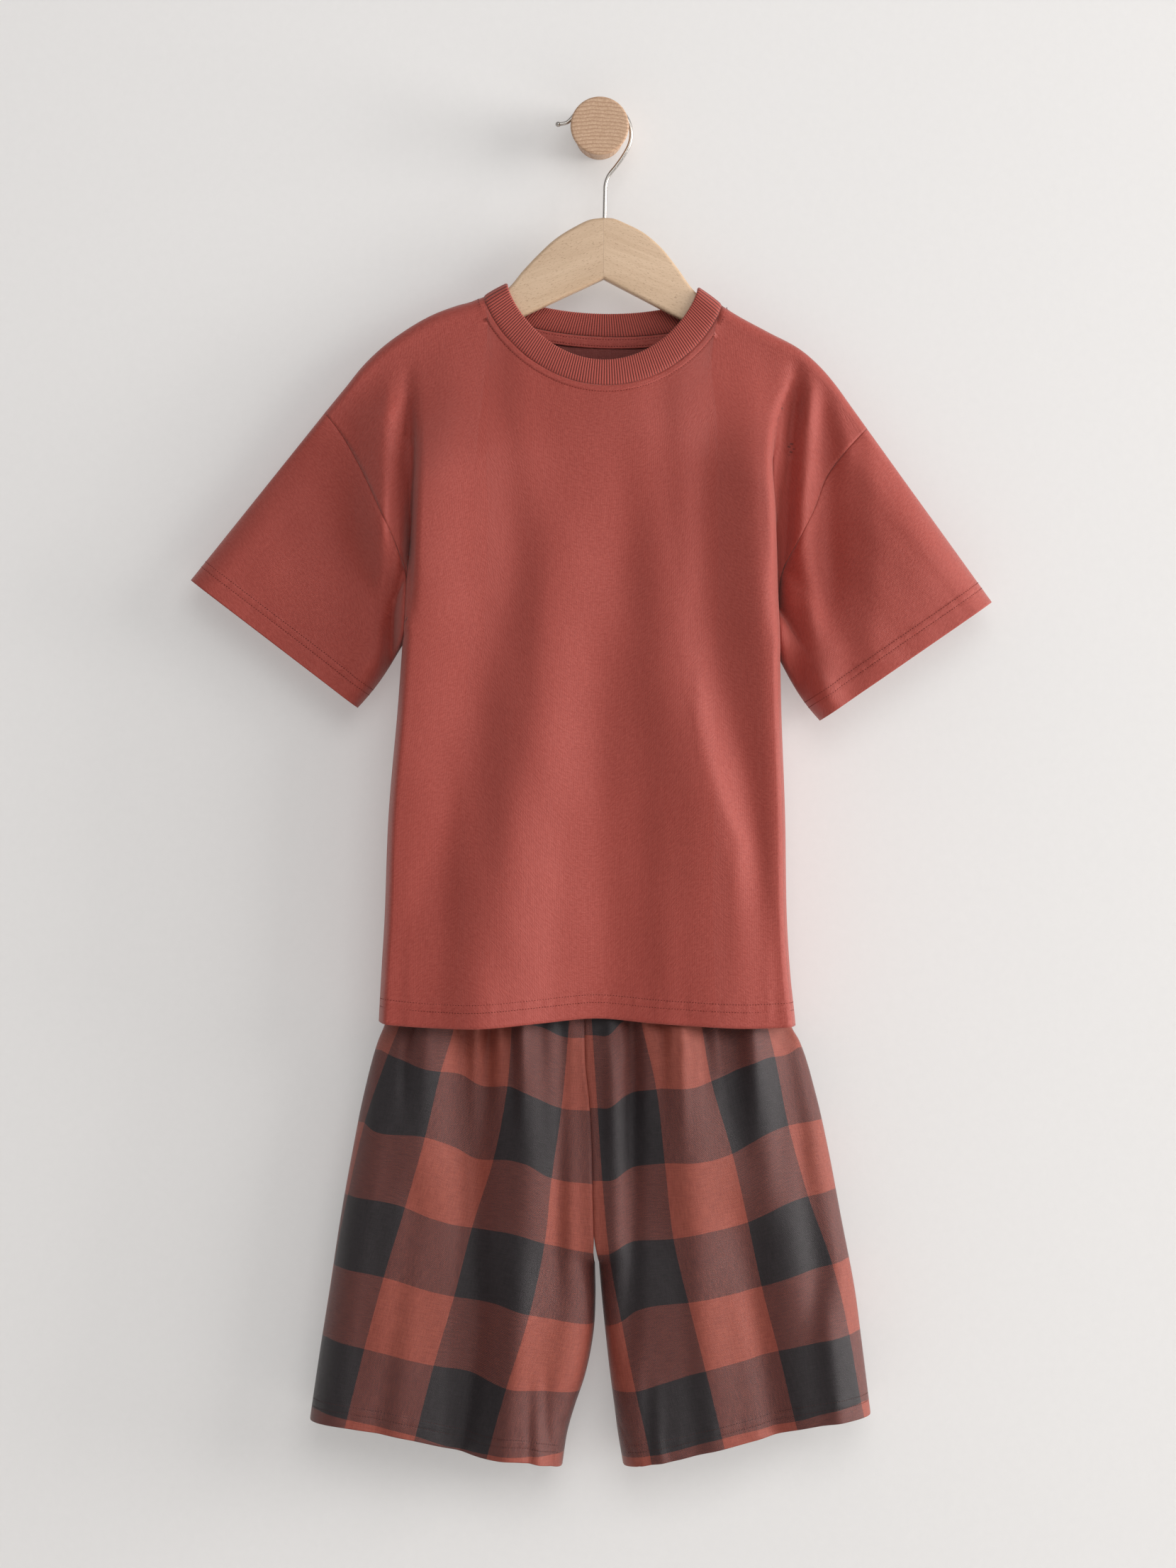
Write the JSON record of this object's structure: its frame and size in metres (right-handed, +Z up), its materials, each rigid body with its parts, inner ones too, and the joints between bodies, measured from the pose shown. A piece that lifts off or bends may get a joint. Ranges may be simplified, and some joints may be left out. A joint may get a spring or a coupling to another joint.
{
  "type": "pyjama set on a wooden hanger and wall knob",
  "caption": "Child's plain short-sleeved T-shirt and buffalo-check shorts on a pale wooden hanger with a steel wire hook, hung flat on a round wooden wall knob",
  "frame": {"origin": "centre of the wall knob's back face, on the wall", "axes": "+X is the viewer's right, +Z is up, and the set hangs in front of the wall towards -Y"},
  "size_m": [0.6064, 0.0821, 1.0318],
  "materials": {
    "rust_jersey": "matte rust-coloured cotton jersey",
    "rust_rib": "matte rust-coloured rib knit",
    "check_cotton": "brushed woven cotton in a charcoal and rust buffalo check",
    "beech": "clear satin lacquer on pale beech",
    "knob_wood": "turned and lightly oiled wood",
    "polished_steel": "polished"
  },
  "bodies": {
    "root": {"hanger_left": "beech", "hanger_right": "beech", "hook": "polished_steel", "knob": "knob_wood", "neck_tape": "rust_jersey", "neckband": "rust_rib", "shirt_back": "rust_jersey", "shirt_front": "rust_jersey", "shorts_left_back": "check_cotton", "shorts_left_front": "check_cotton", "shorts_right_back": "check_cotton", "shorts_right_front": "check_cotton", "shorts_waistband": "check_cotton", "sleeve_left": "rust_jersey", "sleeve_right": "rust_jersey"}
  },
  "joints": []
}
